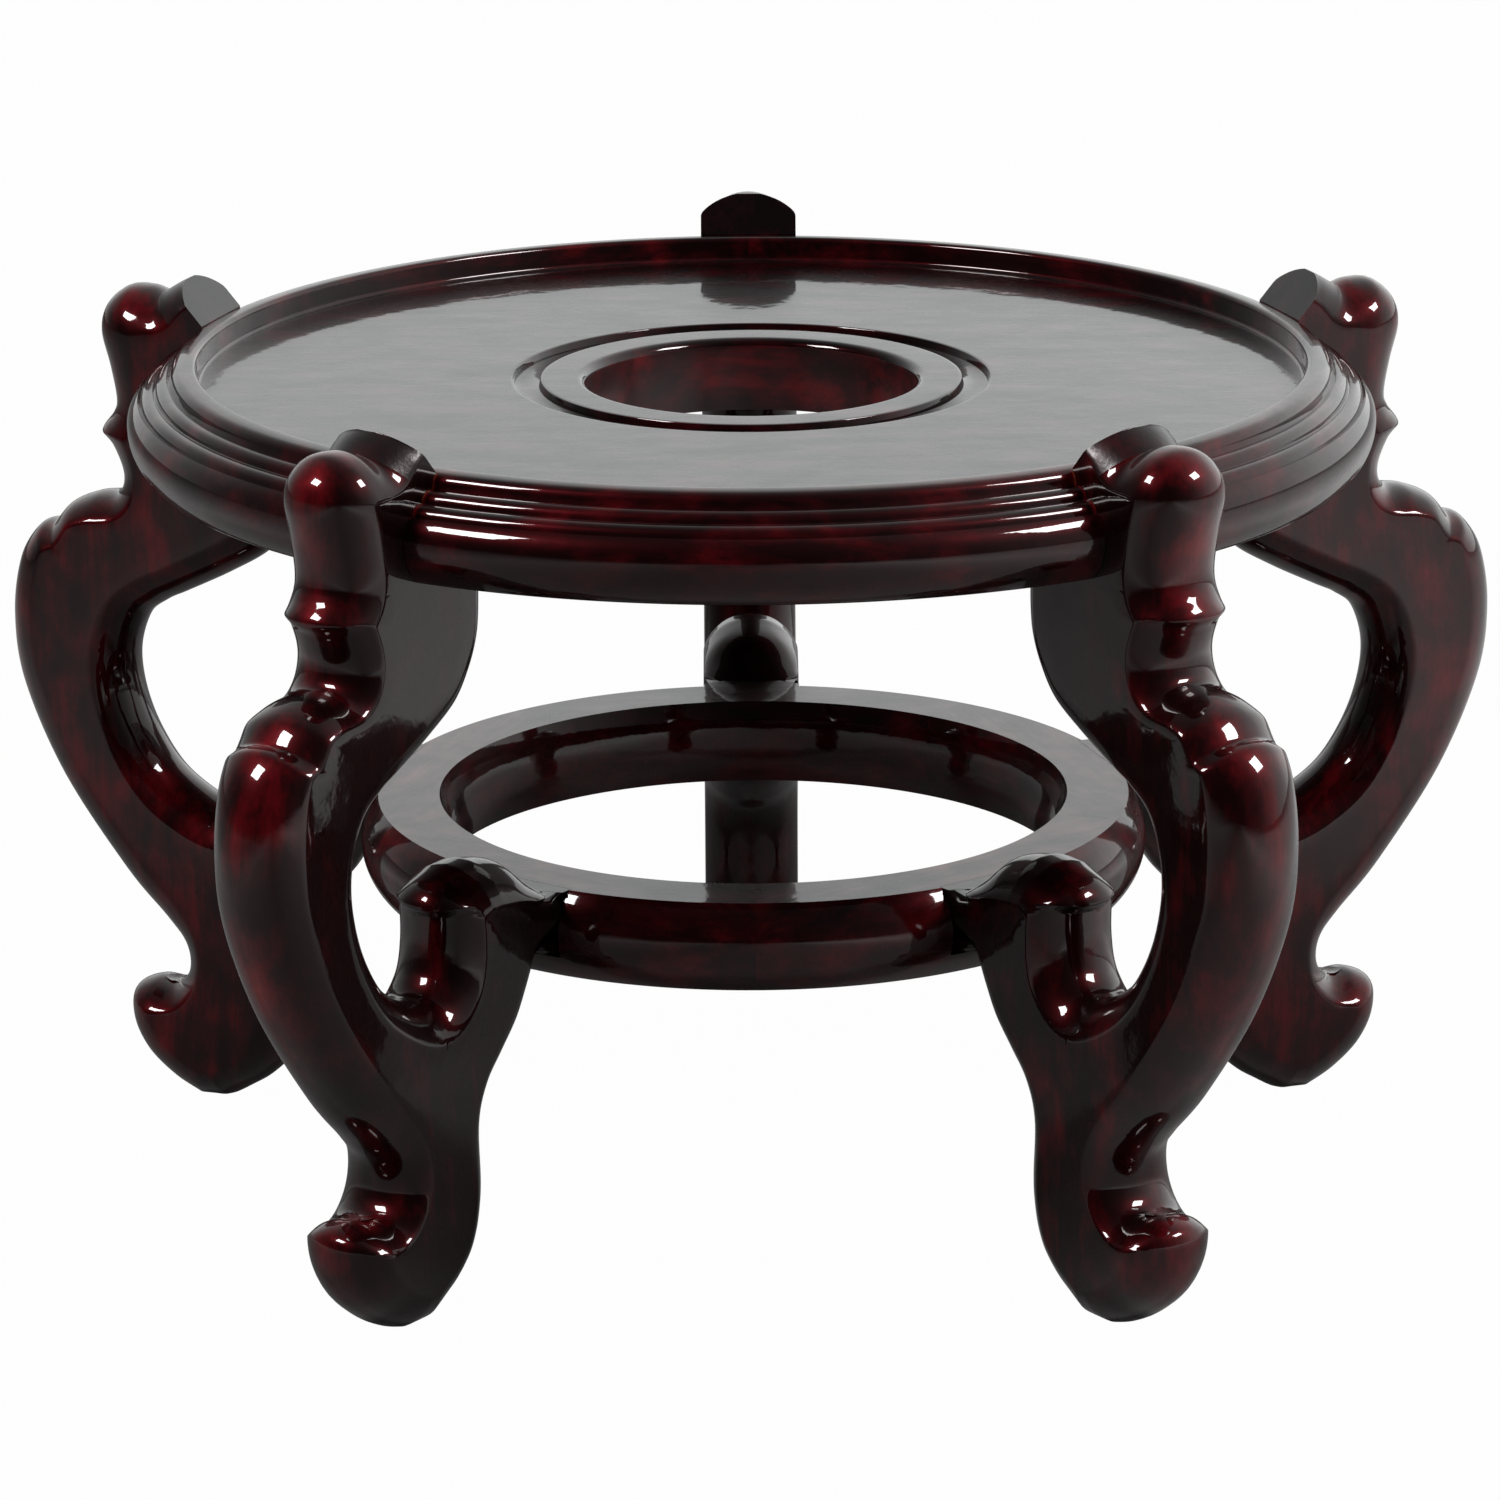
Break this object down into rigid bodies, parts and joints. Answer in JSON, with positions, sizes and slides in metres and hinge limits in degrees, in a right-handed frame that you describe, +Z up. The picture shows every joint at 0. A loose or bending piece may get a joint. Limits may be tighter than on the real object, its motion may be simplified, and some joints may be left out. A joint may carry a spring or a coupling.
{
  "type": "display stand",
  "caption": "Round lacquered hardwood stand: carved legs with upturned toes carry a lipped seat with a centre hole, and a lower ring ties the legs; it raises a vase or bowl for display.",
  "frame": {"origin": "on the ground, at the middle of the five-legged footprint; the seat's axis stands 17.5 mm in front of it", "axes": "+Z up, +Y from the middle to the back leg, +X to the right"},
  "size_m": [0.375, 0.358, 0.2129],
  "materials": {
    "leg_wood": "dark rosewood stain under high gloss lacquer",
    "rim_wood": "dark rosewood stain under high gloss lacquer",
    "seat_wood": "dark rosewood stain under gloss lacquer with open grain",
    "ring_wood": "dark rosewood stain under high gloss lacquer",
    "bare_wood": "bare hardwood dowels and splines"
  },
  "bodies": {
    "root": {"leg_back": "leg_wood", "leg_left": "leg_wood", "leg_front_left": "leg_wood", "leg_front_right": "leg_wood", "leg_right": "leg_wood", "rim_back_left": "rim_wood", "rim_left": "rim_wood", "rim_front": "rim_wood", "rim_right": "rim_wood", "rim_back_right": "rim_wood", "rim_spline_back": "bare_wood", "rim_spline_left": "bare_wood", "rim_spline_front_left": "bare_wood", "rim_spline_front_right": "bare_wood", "rim_spline_right": "bare_wood", "seat_panel": "seat_wood", "ring_back": "ring_wood", "ring_left": "ring_wood", "ring_front_left": "ring_wood", "ring_front_right": "ring_wood", "ring_right": "ring_wood", "ring_spline_back_left": "bare_wood", "ring_spline_left": "bare_wood", "ring_spline_front": "bare_wood", "ring_spline_right": "bare_wood", "ring_spline_back_right": "bare_wood", "seat_dowel_back": "bare_wood", "seat_dowel_left": "bare_wood", "seat_dowel_front_left": "bare_wood", "seat_dowel_front_right": "bare_wood", "seat_dowel_right": "bare_wood", "ring_dowel_back": "bare_wood", "ring_dowel_left": "bare_wood", "ring_dowel_front_left": "bare_wood", "ring_dowel_front_right": "bare_wood", "ring_dowel_right": "bare_wood"}
  },
  "joints": []
}
